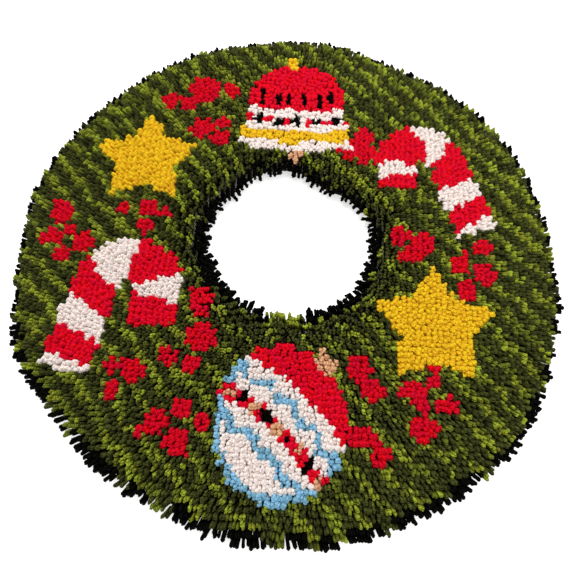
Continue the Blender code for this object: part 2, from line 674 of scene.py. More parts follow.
        def within(low: float, high: float) -> np.ndarray:
            """Knots between two ways round the rug."""
            return (way > low) & (way < high)

        runs = 0.0  # black and green follow each other in short runs
        for count in rows.runs:
            turn = rng.integers(count - 6, count + 6)
            runs = runs + np.sin(np.radians(way) * turn + rng.uniform(0, 6.3))
        rank = 0.5 + 0.5 * np.tanh(rows.steep * runs)
        rank = rank + rng.normal(0, rows.ragged, x.shape)
        first = rows_out < rows.first
        deep, *sector = rows.second
        second = (rows_out < deep) & within(*sector)
        second &= rank < rows.second_share * chance
        black = (first & (rank < chance)) | second
        deep, *sector = rows.deeper
        inner = rows_in < np.where(within(*sector), deep, rows.inner)
        inner &= rng.uniform(0, 1, x.shape) < rows.inner_share
        deep, *sector = rows.lime
        gap = (rows_in < deep) & within(*sector)
        yarn[black | (inner & ~gap)] = Yarn.BLACK
        yarn[gap & (rng.uniform(0, 1, x.shape) < rows.lime_share)] = Yarn.LIME
        zone[first | (black & (rows_out < rows_in))] = Zone.OUTER_EDGE
        zone[(rows_in < rows.hem) | (inner & (rows_in < rows_out))] = Zone.INNER_EDGE
        return yarn, zone


@dataclass
class Lie:
    """Which way the pile leans, as slope: metres sideways for each metre up.

    Args:
        ring: the canvas ring.
    """

    ring: Ring
    comb: tuple[float, float] = (0.03, -0.41)  # combed towards the foot of the design
    fan: tuple[float, float] = (4.0, 1.8)  # outward lean, for each metre off the middle
    swing: float = -1.0  # more comb to the right, less to the left, for each metre
    curl: float = 6.0  # fans wider at the top right and bottom left
    lift: float = 4.0  # less comb at the far and near ends
    most: float = 1.05  # no strand lies flatter than this
    drift: float = 0.035  # slow changes of lean over the rug, for each wave
    waves: tuple[float, ...] = (0.19, 0.13, 0.085, 0.06, 0.042, 0.031)  # lengths
    knot_jitter: float = 0.06  # differences from knot to knot
    end_jitter: float = 0.06  # differences between the two ends of a knot
    # each: knots in from the edge, and how far the rows there splay or are trimmed
    outer_rows: tuple[tuple[float, float], ...] = (
        (0.0, 0.40), (0.5, 0.34), (1.0, 0.24), (2.0, 0.12), (3.0, 0.04), (4.5, 0.0),
    )
    inner_rows: tuple[tuple[float, float], ...] = (
        (0.0, 0.86), (0.5, 0.78), (1.0, 0.62), (2.0, 0.38), (3.0, 0.20), (4.5, 0.08),
        (7.0, 0.0),
    )
    trim_rows: tuple[tuple[float, float], ...] = ((0.0, 1.0), (0.9, 0.85), (2.6, 0.0))
    laid_rows: tuple[tuple[float, float], ...] = ((0.0, 0.55), (4.0, 1.0))

    def mean_at(self, x: np.ndarray, y: np.ndarray) -> tuple[np.ndarray, np.ndarray]:
        """Lean of the pile without its chance differences.

        Args:
            x, y: the points, in metres.

        Returns:
            The sideways slopes along X and along Y.
        """
        along_x = self.comb[0] + self.fan[0] * x + self.curl * x * y
        along_y = self.comb[1] + self.fan[1] * y + self.swing * x + self.lift * y * y
        rows = np.minimum(*self.ring.margins(x, y)) / KNOT_PITCH
        laid = read_off(self.laid_rows, rows)
        slope = np.hypot(along_x, along_y)
        laid = laid * self.most * np.tanh(slope / self.most) / np.maximum(slope, 1e-6)
        return along_x * laid, along_y * laid

    def drift_at(self, x: np.ndarray, y: np.ndarray) -> tuple[np.ndarray, np.ndarray]:
        """Slow changes of lean at these points.

        Args:
            x, y: the points, in metres.

        Returns:
            The sideways slopes along X and along Y.
        """
        rng = np.random.default_rng(SEED + 2)
        slopes = []
        for _ in range(2):
            total = 0.0
            for length in self.waves:
                way, phase = rng.uniform(0, 2 * math.pi, 2)
                turn = 2 * math.pi / length
                total = total + np.sin(
                    turn * (x * math.cos(way) + y * math.sin(way)) + phase
                )
            slopes.append(self.drift * total)
        return slopes[0], slopes[1]

    def splay(self, x: np.ndarray, y: np.ndarray) -> tuple[np.ndarray, np.ndarray]:
        """Outward lean of the last rows, which nothing holds up.

        Args:
            x, y: the knots, in metres.

        Returns:
            The slope away from the pile's middle, and the angle it points to.
        """
        out, inn = self.ring.margins(x, y)
        way = way_round(x, y)
        outer = read_off(self.outer_rows, out / KNOT_PITCH) * read_off(OUTER_SPLAY, way)
        inner = read_off(self.inner_rows, inn / KNOT_PITCH) * read_off(INNER_SPLAY, way)
        return outer - inner, np.arctan2(y, x)

    def trim(self, x: np.ndarray, y: np.ndarray) -> np.ndarray:
        """How long the last rows are cut, beside the rest of the pile.

        Args:
            x, y: the knots, in metres.

        Returns:
            The share of the full length.
        """
        out, _ = self.ring.margins(x, y)
        last = read_off(self.trim_rows, out / KNOT_PITCH)
        return 1 + (read_off(OUTER_TRIM, way_round(x, y)) - 1) * last


@dataclass(frozen=True)
class Strand:
    """One cut end of rug yarn: three plies twisted together, open at the tip.

    Args:
        length: from the canvas to the tip.
        ply: thickness of one ply.
        plies: plies in the yarn.
        sides: corners round a ply.
        rings: share of the length, share of the ply's thickness, turn in
            degrees and how far the plies lie from the strand's middle.
        tip: how far the plies' points lie from the strand's middle.
        narrow: how close the plies lie across the lean, beside along it.
        opens: how far a full yarn's plies lie apart, beside how thick they are.
        bends: a strand's tilt at its foot and what its tip has more, as shares
            of its lean.
        steps: parts that the bend of a strand is worked out in.
        flattest: no strand bends further than this, in degrees.
        shorter: share of its length that a strand loses where it leans right out.
        thicker: share that it gains in thickness there.
    """

    length: float = 23.0 * MM
    ply: float = 2.8 * MM
    plies: int = 3
    sides: int = 5
    rings: tuple[tuple[float, float, float, float], ...] = (
        (0.28, 0.92, 0.0, 1.1 * MM), (0.92, 1.0, 95.0, 2.0 * MM),
    )
    tip: float = 2.1 * MM
    narrow: float = 0.28
    opens: float = 0.3
    bends: tuple[float, float] = (0.35, 1.15)
    steps: int = 12
    flattest: float = 96.0
    shorter: float = 0.16
    thicker: float = 0.1


@dataclass(frozen=True)
class Chance:
    """How far strands differ by chance, mostly as standard deviations.

    Args:
        foot: of the place of a foot, in millimetres.
        slant: of the way that the two feet of a knot lie, in radians.
        loose: of the lean of the edge rows, beside that of all knots.
        length: of the length, as a share.
        girth: of the thickness, as a share.
        tone: of the brightness, from 0 to 1.
        ply_tone: of the brightness of the plies of one strand.
        droop: most that an edge strand bends further, in radians.
    """

    foot: float = 0.45
    slant: float = 0.25
    loose: float = 0.12
    length: float = 0.045
    girth: float = 0.07
    tone: float = 0.2
    ply_tone: float = 0.07
    droop: float = 0.3


@dataclass(frozen=True)
class YarnFinish:
    """Colour and surface of one yarn.

    Args:
        name: name of the material.
        colour: linear colour of the yarn in full light.
        spread: how much strands differ in brightness.
        gloss: how much its surface mirrors.
        glow: how much light spreads through its fibres.
        rough: roughness.
        warm: how far strands differ in hue.
        depth: how dark the painted shade is in the grooves between its turns of fibre,
            and at the foot of a strand.
        full: how thick its plies are, beside a plain ply.
    """

    name: str
    colour: tuple[float, float, float]
    spread: float = 0.22
    gloss: float = 0.08
    glow: float = 0.0
    rough: float = 0.85
    warm: float = 0.02
    depth: float = 0.7
    full: float = 1.15


FINISHES: dict[Yarn, YarnFinish] = {
    Yarn.DARK: YarnFinish(
        "yarn_dark_green", (0.048, 0.055, 0.0105), spread=0.7, depth=1.0,
    ),
    Yarn.LEAF: YarnFinish(
        "yarn_leaf_green", (0.130, 0.155, 0.016), spread=0.5, depth=1.0,
    ),
    Yarn.LIME: YarnFinish(
        "yarn_lime_green", (0.262, 0.306, 0.025), spread=0.45, warm=0.04, depth=0.9,
    ),
    Yarn.BLACK: YarnFinish(
        "yarn_black", (0.002, 0.002, 0.0015), spread=0.3, gloss=0.04, full=1.2,
    ),
    Yarn.GOLD: YarnFinish(
        "yarn_gold", (0.730, 0.445, 0.011), spread=0.08, glow=0.4, depth=0.15,
        full=1.8,
    ),
    Yarn.RED: YarnFinish(
        "yarn_red", (0.650, 0.001, 0.016), spread=0.08, warm=0.006, glow=0.4,
        depth=0.15, full=1.8,
    ),
    Yarn.WHITE: YarnFinish(
        "yarn_white", (0.800, 0.695, 0.650), spread=0.05, glow=0.4, depth=0.15,
        full=1.8,
    ),
    Yarn.BLUE: YarnFinish(
        "yarn_light_blue", (0.205, 0.425, 0.58), spread=0.3, glow=0.4, depth=0.25,
        full=1.7,
    ),
    Yarn.PEACH: YarnFinish(
        "yarn_peach", (0.62, 0.33, 0.18), spread=0.12, glow=0.4, depth=0.25, full=1.65,
    ),
    Yarn.BERRY: YarnFinish(
        "yarn_berry_red", (0.600, 0.001, 0.014), spread=0.12, warm=0.006, glow=0.4,
        depth=0.3, full=1.65,
    ),
}


@dataclass(frozen=True)
class Fibre:
    """Pattern of the fibres on a ply, with painted shade in its grooves and at its
    foot.

    Args:
        turns: turns of fibre round the ply and along the strand.
        round_back: how round the back of a turn is, from 0 to 1.
        streaks: streaks round the ply and along the strand.
        unlike: how unlike the streaks of two strands are.
        contrast: how much the streaks differ in brightness.
        even: height on a turn that keeps the yarn's own brightness; painted shade falls
            below it, painted highlight above.
        foot: how much darker the foot of a strand is painted as shade, beside the
            grooves' painted shade.
        bright: height on a strand that keeps the yarn's own brightness; painted shade
            falls below it, painted light above.
        fuzz: how high the streaks stand, beside the turns.
        mottle: how much they differ in roughness.
    """

    turns: tuple[float, float] = (3.0, 9.0)
    round_back: float = 0.7
    streaks: tuple[float, float] = (17.0, 4.5)
    unlike: float = 613.0
    contrast: float = 1.1
    even: float = 0.68
    foot: float = 0.6
    bright: float = 0.9
    fuzz: float = 0.6
    mottle: float = 0.1


class Spinner:
    """Makes the materials of the yarns, once each."""

    def __init__(self) -> None:
        """Builds the shared fibre group."""
        self.made: dict[Yarn, bpy.types.Material] = {}
        self.fibre = self.fibre_group(Fibre())

    def fibre_group(self, look: Fibre) -> bpy.types.NodeTree:
        """Group that turns a yarn's colour into its fibres, with painted shade in their
        grooves and at their foot.

        Args:
            look: the pattern of the fibres.

        Returns:
            The group: colour, spread, warmth, roughness and painted shade in;
            colour, height and roughness out.
        """
        tree = bpy.data.node_groups.new("yarn_fibre", "ShaderNodeTree")
        for side, names in (
            ("INPUT", ("Colour", "Spread", "Warm", "Roughness", "Depth")),
            ("OUTPUT", ("Colour", "Height", "Roughness")),
        ):
            for name in names:
                kind = "NodeSocketColor" if name == "Colour" else "NodeSocketFloat"
                tree.interface.new_socket(name, in_out=side, socket_type=kind)
        nodes, links = tree.nodes, tree.links
        start, end = nodes.new("NodeGroupInput"), nodes.new("NodeGroupOutput")
        tone = nodes.new("ShaderNodeAttribute")
        tone.attribute_name = "tone"
        wrap = nodes.new("ShaderNodeUVMap")
        wrap.uv_map = "strand"
        place = nodes.new("ShaderNodeSeparateXYZ")
        links.new(wrap.outputs["UV"], place.inputs[0])

        def maths(kind: str, a: object, b: object = 0.0, clamp: bool = False) -> object:
            """Adds one Math node.

            Args:
                kind: its operation.
                a, b: what it works on, sockets or numbers.
                clamp: whether its result is kept from 0 to 1.

            Returns:
                The socket of its result.
            """
            node = nodes.new("ShaderNodeMath")
            node.operation, node.use_clamp = kind, clamp
            for socket, value in zip(node.inputs, (a, b)):
                if isinstance(value, (int, float)):
                    socket.default_value = value
                else:
                    links.new(value, socket)
            return node.outputs[0]

        # twist: 1 on the back of each turn of fibres, 0 in the groove between two; it
        # raises the bump and sets the painted shade in the grooves
        turns = maths("ADD", maths("MULTIPLY", place.outputs["X"], look.turns[0]),
                      maths("MULTIPLY", place.outputs["Y"], look.turns[1]))
        ply = maths("COSINE", maths("MULTIPLY", turns, math.tau))
        ply = maths("MULTIPLY", maths("ADD", ply, 1.0), 0.5)
        ply = maths("POWER", ply, look.round_back, clamp=True)
        # fibres: noise drawn out along the strand, different on each
        spot = nodes.new("ShaderNodeCombineXYZ")
        for axis, source, times in (
            ("X", place.outputs["X"], look.streaks[0]),
            ("Y", place.outputs["Y"], look.streaks[1]),
            ("Z", tone.outputs["Fac"], look.unlike),
        ):
            links.new(maths("MULTIPLY", source, times), spot.inputs[axis])
        fibre = nodes.new("ShaderNodeTexNoise")
        put(fibre, Scale=1.0, Detail=2.0)
        links.new(spot.outputs["Vector"], fibre.inputs["Vector"])

        # brightness: strand by strand, then painted shade in the grooves and painted
        # highlight on the backs of turns, in streaks, then painted shade darker at the
        # foot and a little painted light at the tips
        light = 1.0
        for value, even, times in (
            (tone.outputs["Fac"], 0.5, maths("MULTIPLY", start.outputs["Spread"], 2.0)),
            (ply, look.even, start.outputs["Depth"]),
            (fibre.outputs["Fac"], 0.5, look.contrast),
            (place.outputs["Y"], look.bright,
             maths("MULTIPLY", start.outputs["Depth"], look.foot)),
        ):
            share = maths("MULTIPLY", maths("SUBTRACT", value, even), times)
            light = maths("MULTIPLY", light, maths("ADD", share, 1.0))
        shade = nodes.new("ShaderNodeVectorMath")
        shade.operation = "SCALE"
        links.new(start.outputs["Colour"], shade.inputs[0])
        links.new(light, shade.inputs["Scale"])
        hue = nodes.new("ShaderNodeHueSaturation")
        turn = maths("SUBTRACT", tone.outputs["Fac"], 0.5)
        turn = maths("MULTIPLY", turn, start.outputs["Warm"])
        links.new(maths("ADD", turn, 0.5), hue.inputs["Hue"])
        links.new(shade.outputs["Vector"], hue.inputs["Color"])
        links.new(hue.outputs["Color"], end.inputs["Colour"])
        height = maths("ADD", ply, maths("MULTIPLY", fibre.outputs["Fac"], look.fuzz))
        links.new(height, end.inputs["Height"])
        rough = maths("SUBTRACT", fibre.outputs["Fac"], 0.5)
        rough = maths("MULTIPLY", rough, look.mottle)
        rough = maths("ADD", rough, start.outputs["Roughness"], clamp=True)
        links.new(rough, end.inputs["Roughness"])
        return tree

    def material(self, yarn: Yarn) -> bpy.types.Material:
        """Material of a yarn.

        Args:
            yarn: which yarn.

        Returns:
            Its material, made when first asked for.
        """
        if yarn in self.made:
            return self.made[yarn]
        finish = FINISHES[yarn]
        mat, shader = surface(
            finish.name, Specular_IOR_Level=finish.gloss,
            Subsurface_Weight=finish.glow, Subsurface_Scale=1.0 * MM,
            Subsurface_Radius=(1.0, 0.8, 0.7),
        )
        links = mat.node_tree.links
        fibre = mat.node_tree.nodes.new("ShaderNodeGroup")
        fibre.node_tree = self.fibre
        put(
            fibre, Colour=(*finish.colour, 1.0), Spread=finish.spread,
            Warm=finish.warm, Roughness=finish.rough, Depth=finish.depth,
        )
        links.new(fibre.outputs["Colour"], shader.inputs["Base Color"])
        links.new(fibre.outputs["Roughness"], shader.inputs["Roughness"])
        raised(mat, fibre.outputs["Height"], 0.6, 0.5 * MM)
        self.made[yarn] = mat
        return mat


@dataclass(frozen=True)
class Cell:
    """Where the faces of one shape lie in its cell of the atlas, as shares of it.

    Args:
        corner: left and low corner of its wall.
        wall: width and height of its wall.
        disc: half width and half height of a flat end.
        foot: low side of the flat end at the foot.
        top: low side of the flat end at the top.
        columns: columns of cells in the atlas for each row of them.
    """

    corner: tuple[float, float] = (0.06, 0.17)
    wall: tuple[float, float] = (0.88, 0.66)
    disc: tuple[float, float] = (0.42, 0.065)
    foot: float = 0.015
    top: float = 0.855
    columns: float = 0.9


CELL = Cell()


@dataclass(frozen=True)
class Lathe:
    """Faces of one small round shape: rings of corners, closed at both ends.

    Args:
        sides: corners in each ring.
        heights: where each ring lies along the shape, from 0 to 1.
        pointed: whether it ends in one corner past its last ring.
    """

    sides: int
    heights: tuple[float, ...]
    pointed: bool

    def faces(self) -> list[tuple[tuple[int, ...], list, list]]:
        """Faces of the shape, outsides out.

        Returns:
            The corner numbers, the strand map and the atlas map of each face.
        """
        n, rows = self.sides, len(self.heights)
        found = []

        def wrapped(corners: list[tuple[int, float, float]]) -> None:
            """Adds a face of the wall.

            Args:
                corners: the number of each corner, and how far it lies round the
                    shape and up it.
            """
            (left, low), (wide, tall) = CELL.corner, CELL.wall
            strand = [(u / n, v) for _, u, v in corners]
            atlas = [(left + wide * u / n, low + tall * v) for _, u, v in corners]
            found.append((tuple(c for c, _, _ in corners), strand, atlas))

        def capped(corners: list[int], v: float, low: float) -> None:
            """Adds a flat end.

            Args:
                corners: the numbers of its corners.
                v: how far up the shape it lies.
                low: its low side in the cell.
            """
            wide, tall = CELL.disc
            turns = [math.tau * (c % n) / n for c in corners]
            disc = [
                (0.5 + wide * math.cos(a), low + tall * (1 + math.sin(a)))
                for a in turns
            ]
            found.append((tuple(corners), [(c % n / n, v) for c in corners], disc))

        for i in range(rows - 1):
            low, high = self.heights[i], self.heights[i + 1]
            for k in range(n):
                j = (k + 1) % n
                wrapped([
                    (i * n + k, k, low), (i * n + j, k + 1, low),
                    ((i + 1) * n + j, k + 1, high), ((i + 1) * n + k, k, high),
                ])
        last = (rows - 1) * n
        if self.pointed:
            for k in range(n):
                wrapped([
                    (last + k, k, self.heights[-1]),
                    (last + (k + 1) % n, k + 1, self.heights[-1]),
                    (rows * n, k + 0.5, 1.0),
                ])
        else:
            capped([last + k for k in range(n)], self.heights[-1], CELL.top)
        capped(list(range(n))[::-1], self.heights[0], CELL.foot)
        return found


@dataclass
class Heap:
    """Many small shapes joined into one mesh, each with its own yarn and tone."""

    shapes: list[tuple[Lathe, np.ndarray, np.ndarray, np.ndarray]] = field(
        default_factory=list
    )

    def add(
        self, lathe: Lathe, corners: np.ndarray, yarn: np.ndarray, tone: np.ndarray
    ) -> None:
        """Adds like shapes.

        Args:
            lathe: their faces.
            corners: for each shape, the places of its corners.
            yarn, tone: the yarn and brightness of each shape.
        """
        self.shapes.append((lathe, corners, yarn, tone))

    def mesh(self, name: str, spinner: Spinner) -> bpy.types.Object:
        """Joins all that was added.

        Args:
            name: name of the piece.
            spinner: the maker of yarn materials.

        Returns:
            The object, with a material for each of its yarns.
        """
        total = sum(len(c) for _, c, _, _ in self.shapes)
        wide = math.ceil(math.sqrt(total * CELL.columns))
        tall = math.ceil(total / wide)
        used = sorted({int(y) for _, _, yarn, _ in self.shapes for y in yarn})
        loops, sizes, slots, strand, atlas = [], [], [], [], []
        first_corner = first_shape = 0
        for lathe, corners, yarn, _ in self.shapes:
            n, per = corners.shape[:2]
            base = first_corner + np.arange(n)[:, None] * per
            cell = first_shape + np.arange(n)
            corner_of = np.stack([cell % wide, cell // wide], axis=1)[:, None, :]
            slot = np.array([used.index(y) for y in yarn])
            for face, map_strand, map_atlas in lathe.faces():
                loops.append((base + np.array(face)).ravel())
                sizes.append(np.full(n, len(face)))
                slots.append(slot)
                strand.append(np.tile(np.array(map_strand), (n, 1)))
                spot = (corner_of + np.array(map_atlas)[None]) / (wide, tall)
                atlas.append(spot.reshape(-1, 2))
            first_corner += n * per
            first_shape += n
        places = np.concatenate([c.reshape(-1, 3) for _, c, _, _ in self.shapes])
        sizes = np.concatenate(sizes)
        mesh = bpy.data.meshes.new(name)
        mesh.vertices.add(len(places))
        mesh.vertices.foreach_set("co", places.astype(np.float32).ravel())
        mesh.loops.add(int(sizes.sum()))
        mesh.loops.foreach_set("vertex_index", np.concatenate(loops).astype(np.int32))
        mesh.polygons.add(len(sizes))
        starts = np.concatenate([[0], np.cumsum(sizes)[:-1]])
        mesh.polygons.foreach_set("loop_start", starts.astype(np.int32))
        slots = np.concatenate(slots).astype(np.int32)
        mesh.polygons.foreach_set("material_index", slots)
        for yarn in used:
            mesh.materials.append(spinner.material(Yarn(yarn)))
        for label, values in (("strand", strand), ("OFBake", atlas)):
            layer = mesh.uv_layers.new(name=label)
            flat = np.concatenate(values).astype(np.float32).ravel()
            layer.data.foreach_set("uv", flat)
        tones = [np.repeat(tone, c.shape[1]) for _, c, _, tone in self.shapes]
        tone = mesh.attributes.new("tone", "FLOAT", "POINT")
        tone.data.foreach_set("value", np.concatenate(tones).astype(np.float32))
        mesh.update(calc_edges=True)
        mesh.shade_smooth()
        mesh.validate()
        return placed(name, mesh)


@dataclass(frozen=True)
class Knot:
    """The loop of yarn round a canvas bar: a lump above it and the back below.

    Sizes in millimetres: each ring's height over the floor, and its half width
    along X and along Y.
    """

    sides: int = 5
    rings: tuple[tuple[float, float, float], ...] = (
        (0.05, 1.8, 1.6), (1.0, 3.3, 3.0), (9.0, 2.9, 2.7),
    )
    follow: float = 0.65  # how far the knot follows the lean of its ends
    shift: float = 0.12  # how far knots lie off the grid by chance
    swell: float = 0.05  # how far they differ in size, as a share
    tone: float = 0.4  # their brightness, from 0 to 1

    def lathe(self) -> Lathe:
        """The faces of one knot."""
        return Lathe(self.sides, (0.0, 0.3, 1.0), False)

    def corners(self, knots: np.ndarray, lean: np.ndarray) -> np.ndarray:
        """Places of the corners of these knots.

        Args:
            knots: their middles, in metres.
            lean: the slopes of their ends.

        Returns:
            An array of knots by corners by X, Y and Z.
        """
        rng = np.random.default_rng(SEED + 4)
        n = len(knots)
        shift = rng.normal(0, self.shift * MM, (n, 2))
        swell = 1 + rng.normal(0, self.swell, n)
        turns = math.tau * np.arange(self.sides) / self.sides
        rows = []
        for z, wide, long in self.rings:
            middle = knots + shift + lean * self.follow * max(z - 1.0, 0.0) * MM
            x = middle[:, :1] + swell[:, None] * wide * MM * np.cos(turns)
            y = middle[:, 1:] + swell[:, None] * long * MM * np.sin(turns)
            rows.append(np.stack([x, y, np.full(x.shape, z * MM)], axis=2))
        return np.concatenate(rows, axis=1)


@dataclass
class Pile:
    """The knotted pile: every strand end of every knot, and the knots.

    Args:
        ring: the canvas ring.
        chart: the rug's chart.
        lie: the lean of the pile.
        strand: the yarn's shape.
        knot: the knots' shape.
        spinner: the maker of yarn materials.
        foot: height that the strands stand on, in metres.
        chance: how far strands differ.
        beyond: how far past the cut edges knots may lie, as a share of the pitch.
        seen: share of a strand's length where its colour is seen.
        feet: how far apart the two ends of a knot stand, in metres.
        room: how far apart crowded tips push each other, in metres.
        slim: how much closer leaning strands lie side by side than end to end.
        rounds: how often they push.
        pace: share of each push that they follow.
        hardest: no push is harder than this share of the gap.
    """

    ring: Ring
    chart: Chart
    lie: Lie
    strand: Strand
    knot: Knot
    spinner: Spinner
    foot: float
    chance: Chance = Chance()
    beyond: float = 0.2
    seen: float = 0.95
    feet: float = 3.38 * MM
    room: float = 7.6 * MM
    slim: float = 0.12
    rounds: int = 12
    pace: float = 0.25
    hardest: float = 3.0
    knots: np.ndarray = field(init=False)
    yarns: np.ndarray = field(init=False)
    zones: np.ndarray = field(init=False)

    def __post_init__(self) -> None:
        """Lays the knots on the canvas grid and reads the chart for each."""
        count = int(GRID_REACH / KNOT_PITCH)
        line = (np.arange(-count, count + 1) + 0.5) * KNOT_PITCH
        x, y = (g.ravel() for g in np.meshgrid(line, line))
        inside = np.minimum(*self.ring.margins(x, y)) > -self.beyond * KNOT_PITCH
        x, y = x[inside], y[inside]
        self.knots = np.stack([x, y], axis=1)
        lx, ly = self.lie.mean_at(x, y)
        tips = self.strand.length * self.seen / np.sqrt(1 + lx * lx + ly * ly)
        self.yarns, self.zones = self.chart.read(x, y, lx * tips, ly * tips)

    def strands(self) -> dict[str, np.ndarray]:
        """Foot, lean, length, girth and tone of both ends of every knot.

        Returns:
            One array for each, with a row for each strand end.
        """
        rng = np.random.default_rng(SEED + 3)
        chance, strand = self.chance, self.strand
        n, m = len(self.knots), 2 * len(self.knots)
        x, y = self.knots.T
        ways = self.lie.mean_at(x, y)
        slant = np.arctan2(-ways[0], -ways[1]) + rng.normal(0, chance.slant, n)
        feet = []
        for side in (-self.feet / 2, self.feet / 2):
            # the two ends lie side by side, across the way that they lean
            fx = x + side * np.cos(slant) + rng.normal(0, chance.foot, n) * MM
            fy = y - side * np.sin(slant) + rng.normal(0, chance.foot, n) * MM
            feet.append((fx, fy))
        fx, fy = np.concatenate(feet, axis=1)
        slope, angle = self.lie.splay(fx, fy)
        edge = np.clip(np.abs(slope), 0, 1)
        lean = np.array(self.lie.mean_at(fx, fy)) + self.lie.drift_at(fx, fy)
        lean += slope * np.array([np.cos(angle), np.sin(angle)])
        lean += np.tile(rng.normal(0, self.lie.knot_jitter, (2, n)), 2)
        lean += rng.normal(0, self.lie.end_jitter, (2, m))
        lean += np.tile(rng.normal(0, chance.loose, (2, n)), 2) * edge
        length = strand.length * (1 + rng.normal(0, chance.length, m))
        length *= (1 - strand.shorter * edge) * self.lie.trim(fx, fy)
        swell = (1 + rng.normal(0, chance.girth, m)) * (1 + strand.thicker * edge)
        yarn = np.tile(self.yarns, 2)
        return {
            "foot": np.stack([fx, fy, np.full(m, self.foot)], axis=1),
            "lean": lean.T.copy(),
            "length": length,
            "swell": swell,
            "full": np.array([FINISHES[Yarn(y)].full for y in yarn]),
            "spin": rng.uniform(0, math.tau, m),
            "tone": np.clip(0.5 + rng.normal(0, chance.tone, m), 0, 1),
            "yarn": yarn,
            "zone": np.tile(self.zones, 2),
            "droop": edge * rng.uniform(0.0, chance.droop, m),
        }

    def crowd(self, s: dict[str, np.ndarray]) -> None:
        """Pushes tufts apart where they crowd, as the pile's own bulk does.

        Args:
            s: the strands, as strands() makes them; their leans are changed.
        """
        n = len(self.knots)
        half = int(GRID_REACH / KNOT_PITCH) + 4  # an empty border round the knots
        column, row = np.floor(self.knots / KNOT_PITCH).astype(int).T + half
        grid = np.full((2 * half, 2 * half), -1)
        grid[row, column] = np.arange(n)
        lean = (s["lean"][:n] + s["lean"][n:]) / 2
        length = (s["length"][:n] + s["length"][n:]) / 2
        start = lean.copy()
        for _ in range(self.rounds):
            slope = np.hypot(lean[:, 0], lean[:, 1])
            way = lean / np.maximum(slope, 1e-6)[:, None]
            slim = 1 + self.slim * np.minimum(slope, 1)
            far = length * np.sin(0.92 * np.arctan(slope))  # a bent strand's reach
            tip = self.knots + way * far[:, None]
            push = np.zeros_like(lean)
            # from every neighbour up to two knots away
            for up in range(-2, 3):
                for along in range(-2, 3):
                    other = grid[row + up, column + along]
                    gap = tip - tip[other]
                    ahead = gap[:, 0] * way[:, 0] + gap[:, 1] * way[:, 1]
                    across = gap[:, 0] * way[:, 1] - gap[:, 1] * way[:, 0]
                    # leaning tufts lie closer side by side than end to end
                    off = np.hypot(ahead / slim, across * slim)
                    near = (other >= 0) & (off > 1e-7) & (off < self.room)
                    share = np.where(near, self.room / np.maximum(off, 1e-6) - 1, 0)
                    push += gap * np.minimum(share, self.hardest)[:, None]
            lean = lean + self.pace * push / length[:, None]
        s["lean"] += np.tile(lean - start, (2, 1))

    def corners(self, s: dict[str, np.ndarray]) -> np.ndarray:
        """Places of the corners of strand ends.

        Args:
            s: the strands, as strands() gives them.

        Returns:
            An array of plies by corners by X, Y and Z: the first ply of each
            strand, then the second of each, and so on.
        """
        shape = self.strand
        n, sides = len(s["length"]), shape.sides
        slope = np.hypot(s["lean"][:, 0], s["lean"][:, 1])
        tilt = np.arctan(slope)
        heading = s["lean"] / np.maximum(slope, 1e-6)[:, None]
        # the strand stands up out of its knot and bends over as it rises
        steps = np.linspace(0.0, 1.0, shape.steps + 1)
        first, more = shape.bends
        bend = tilt[:, None] * (first + more * steps) + s["droop"][:, None] * steps**2
        bend = np.minimum(bend, math.radians(shape.flattest))
        middle = (bend[:, 1:] + bend[:, :-1]) / 2
        part = s["length"][:, None] / shape.steps
        side = np.cumsum(np.pad(part * np.sin(middle), ((0, 0), (1, 0))), axis=1)
        rise = np.cumsum(np.pad(part * np.cos(middle), ((0, 0), (1, 0))), axis=1)
        across = np.stack([-heading[:, 1], heading[:, 0], np.zeros(n)], axis=1)

        def along(ahead: np.ndarray, up: np.ndarray) -> np.ndarray:
            """Points or ways, from how far they go ahead and up."""
            return np.stack([heading[:, 0] * ahead, heading[:, 1] * ahead, up], axis=1)

        def frame_at(share: float) -> tuple[np.ndarray, np.ndarray]:
            """Finds the strands at a share of their length.

            Args:
                share: the share.

            Returns:
                Their middles there, and the way that their forward sides face.
            """
            at = share * shape.steps
            low = min(int(at), shape.steps - 1)
            blend = at - low
            s_at, z_at, b_at = (
                values[:, low] * (1 - blend) + values[:, low + 1] * blend
                for values in (side, rise, bend)
            )
            return s["foot"] + along(s_at, z_at), along(np.cos(b_at), -np.sin(b_at))

        rows = len(shape.rings)
        verts = np.zeros((shape.plies, n, rows * sides + 1, 3))
        ends = (1.0, 0.0, shape.rings[-1][2], shape.tip)
        swell = s["swell"]
        opened = swell * (1 - shape.opens + shape.opens * s["full"])
        for i, (share, girth, turn, apart) in enumerate((*shape.rings, ends)):
            centre, fore = frame_at(share)
            for ply in range(shape.plies):
                a = s["spin"] + math.radians(turn) + math.tau * ply / shape.plies
                out = np.cos(a)[:, None] * fore
                out = out + shape.narrow * np.sin(a)[:, None] * across
                spot = centre + (apart * opened)[:, None] * out
                if i == rows:
                    verts[ply, :, -1] = spot
                    continue
                for k in range(sides):
                    b = a + math.tau * k / sides
                    rim = np.cos(b)[:, None] * fore + np.sin(b)[:, None] * across
                    r = (shape.ply / 2 * girth * swell * s["full"])[:, None]
                    verts[ply, :, i * sides + k] = spot + r * rim
        return verts.reshape(shape.plies * n, rows * sides + 1, 3)

